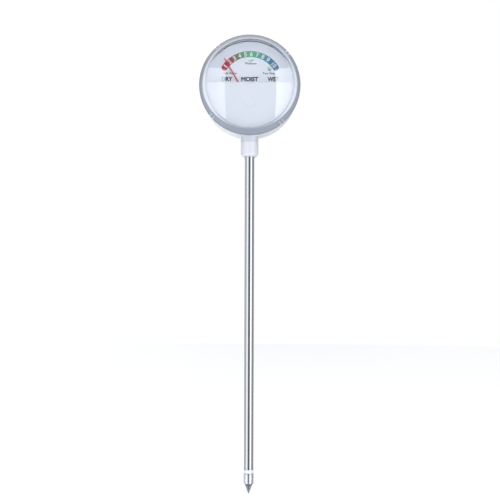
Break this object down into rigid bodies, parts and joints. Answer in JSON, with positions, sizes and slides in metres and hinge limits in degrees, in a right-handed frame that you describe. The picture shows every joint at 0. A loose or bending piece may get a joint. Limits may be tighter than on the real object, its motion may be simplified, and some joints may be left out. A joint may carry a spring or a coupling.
{
  "type": "soil moisture meter",
  "caption": "Soil moisture meter with a round dial head, a moving-coil movement and a long round probe that ends in an insulated pointed metal tip.",
  "frame": {"origin": "the point of the probe's tip, on the probe's axis", "axes": "+Z along the probe from the tip up to the head, -Y out of the dial towards the reader, +X to the reader's right"},
  "size_m": [0.0634, 0.0375, 0.2867],
  "materials": {
    "white_plastic": "satin moulded",
    "dial_card": "printed matte",
    "black_plastic": "moulded",
    "clear_plastic": "clear polished",
    "stainless_steel": "polished tube",
    "tip_metal": "turned, grey",
    "plated_steel": "plated",
    "brass": "stamped",
    "aluminium": "thin sheet",
    "enamelled_copper": "enamelled winding",
    "spring_bronze": "rolled",
    "soft_iron": "machined",
    "magnet": "ground",
    "ruby": "polished jewel",
    "pointer_red": "painted",
    "resistor_tan": "lacquered",
    "red_insulation": "extruded",
    "black_insulation": "extruded"
  },
  "bodies": {
    "housing": {"rear_case": "white_plastic", "front_lens": "clear_plastic", "neck_collar": "white_plastic", "dial_plate": "dial_card", "movement_cover": "white_plastic", "dial_screw_left": "plated_steel", "dial_screw_right": "plated_steel", "pointer_stop_left": "plated_steel", "pointer_stop_right": "plated_steel", "movement_frame": "black_plastic", "frame_screw_1": "plated_steel", "frame_screw_2": "plated_steel", "frame_screw_3": "plated_steel", "frame_screw_4": "plated_steel", "yoke_ring": "soft_iron", "core_magnet": "magnet", "core_spacer_left": "black_plastic", "core_spacer_right": "black_plastic", "front_pillar_left": "brass", "front_pillar_right": "brass", "front_bridge": "brass", "front_bridge_screw_left": "plated_steel", "front_bridge_screw_right": "plated_steel", "rear_bridge": "brass", "rear_bridge_screw_left": "plated_steel", "rear_bridge_screw_right": "plated_steel", "front_jewel_screw": "brass", "front_jewel": "ruby", "rear_jewel_screw": "brass", "rear_jewel": "ruby", "outer_tube": "stainless_steel", "insulator_ring": "white_plastic", "tip_electrode": "tip_metal", "stem_ferrule": "tip_metal", "tip_lead": "red_insulation", "wire_bush": "white_plastic", "contact_ring": "brass", "tube_clip": "plated_steel", "tube_lead": "black_insulation", "calibration_resistor": "resistor_tan", "front_solder_tag": "brass", "rear_solder_tag": "brass"},
    "moving_coil": {"coil_former": "aluminium", "coil_winding": "enamelled_copper", "front_pivot": "plated_steel", "rear_pivot": "plated_steel", "pointer": "pointer_red", "balance_cross": "aluminium", "balance_weight_left": "spring_bronze", "balance_weight_right": "spring_bronze", "balance_weight_tail": "spring_bronze", "front_hairspring": "spring_bronze", "rear_hairspring": "spring_bronze"},
    "zero_adjuster": {"zero_lever": "brass"}
  },
  "joints": [
    {"name": "pointer_swing", "type": "hinge", "parent": "housing", "child": "moving_coil", "pos_m": [0, 0, 0.245], "axis": [0, 1, 0], "range_deg": [-8, 68], "stiffness_Nm_per_rad": 0.00002, "deforming": ["front_hairspring", "rear_hairspring"]},
    {"name": "zero_adjust", "type": "hinge", "parent": "housing", "child": "zero_adjuster", "pos_m": [0, 0, 0.245], "axis": [0, 1, 0], "range_deg": [-10, 10]}
  ]
}
